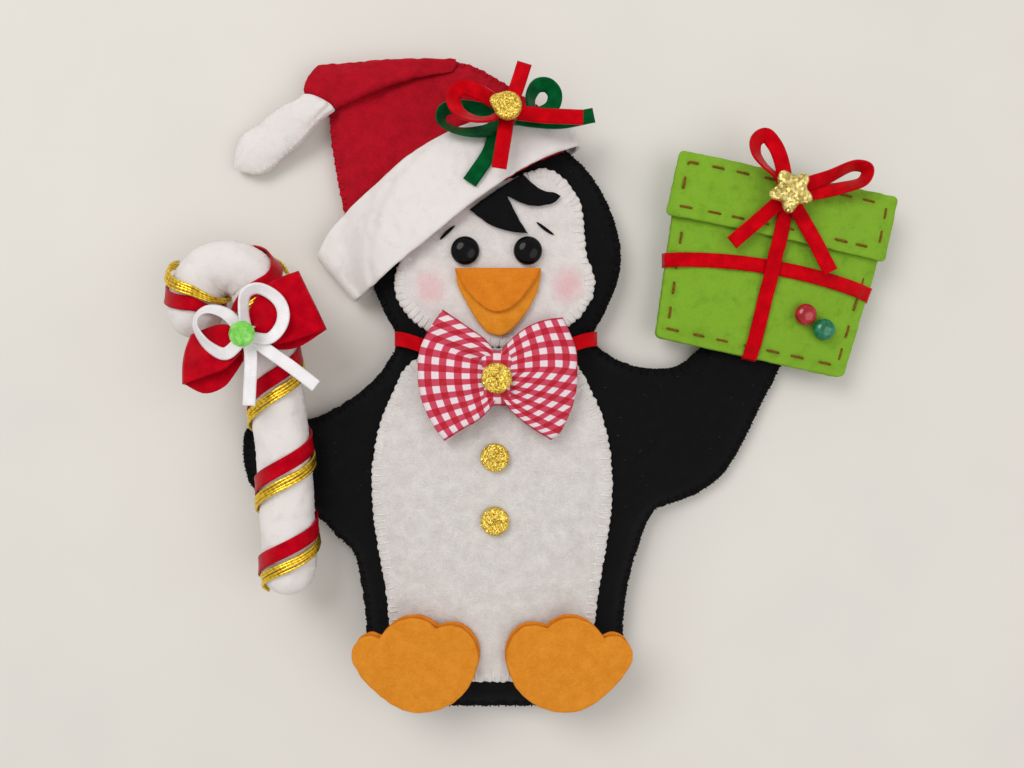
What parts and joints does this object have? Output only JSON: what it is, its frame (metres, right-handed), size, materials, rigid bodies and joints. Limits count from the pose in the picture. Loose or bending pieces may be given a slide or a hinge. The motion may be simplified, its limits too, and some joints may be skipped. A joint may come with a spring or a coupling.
{
  "type": "felt christmas ornament",
  "caption": "Flat hand-sewn stuffed felt penguin with a folded santa hat, gingham bow tie, gold buttons, a candy cane on one wing and a gift parcel on the other.",
  "frame": {"origin": "middle of the torso's back, on the flat of the back felt that the ornament lies on", "axes": "+X to the gift's side, along the longest extent; +Y towards the hat; +Z out of the front, square to the surface that it lies on"},
  "size_m": [0.2071, 0.1878, 0.0324],
  "materials": {
    "black_felt": "matte wool felt, short fuzz",
    "white_felt": "matte wool felt, short fuzz",
    "red_felt": "matte wool felt, short fuzz",
    "orange_felt": "matte wool felt, short fuzz",
    "lime_felt": "matte wool felt, short fuzz",
    "fibre_filling": "loose polyester fibre",
    "black_thread": "cotton thread",
    "white_thread": "cotton thread",
    "gold_thread": "metallic cord",
    "red_satin": "satin",
    "green_satin": "satin",
    "white_satin": "satin",
    "gingham_cotton": "woven red and white check",
    "gold_glitter": "gold glitter",
    "black_bead": "polished",
    "red_bead": "polished, translucent",
    "green_bead": "polished, translucent",
    "green_gem": "polished, faceted"
  },
  "bodies": {
    "ornament": {"back_panel": "black_felt", "front_panel": "black_felt", "torso_stuffing": "fibre_filling", "head_stuffing": "fibre_filling", "left_wing_stuffing": "fibre_filling", "right_wing_stuffing": "fibre_filling", "face_panel": "white_felt", "belly_panel": "white_felt", "body_seam_thread": "black_thread", "face_seam_thread": "white_thread", "belly_seam_thread": "white_thread", "hat_back": "red_felt", "hat_front": "red_felt", "hat_brim": "white_felt", "hair_tuft": "black_felt", "beak_lower": "orange_felt", "beak_upper": "orange_felt", "eye_left": "black_bead", "eye_right": "black_bead", "brow_left": "black_thread", "brow_right": "black_thread", "left_foot_back": "orange_felt", "left_foot_front": "orange_felt", "right_foot_back": "orange_felt", "right_foot_front": "orange_felt", "neck_ribbon": "red_satin", "bow_tie": "gingham_cotton", "bow_button": "gold_glitter", "belly_button_upper": "gold_glitter", "belly_button_lower": "gold_glitter", "hat_ribbon_green": "green_satin", "hat_ribbon_red": "red_satin", "hat_gem": "gold_glitter", "gift_back": "lime_felt", "gift_front": "lime_felt", "gift_lid": "lime_felt", "gift_padding": "fibre_filling", "gift_band_horizontal": "red_satin", "gift_band_vertical": "red_satin", "gift_bow": "red_satin", "gift_star": "gold_glitter", "gift_bead_red": "red_bead", "gift_bead_green": "green_bead", "cane_front_panel": "white_felt", "cane_back_panel": "white_felt", "cane_stuffing": "fibre_filling", "cane_ribbon_wrap": "red_satin", "cane_gold_cord": "gold_thread", "cane_bow_red": "red_satin", "cane_bow_white": "white_satin", "cane_gem": "green_gem"},
    "hat_tail": {"hat_tail": "red_felt"},
    "hat_tip": {"hat_tip": "white_felt"}
  },
  "joints": [
    {"name": "hat_tail_fold", "type": "hinge", "parent": "ornament", "child": "hat_tail", "pos_m": [-0.03085, 0.13235, 0.0054], "axis": [-0.999, -0.045, 0], "range_deg": [0, 80]},
    {"name": "hat_tip_swing", "type": "hinge", "parent": "hat_tail", "child": "hat_tip", "pos_m": [-0.0505, 0.12205, 0.0109], "axis": [-0.9061, 0.423, 0], "range_deg": [0, 75]}
  ]
}
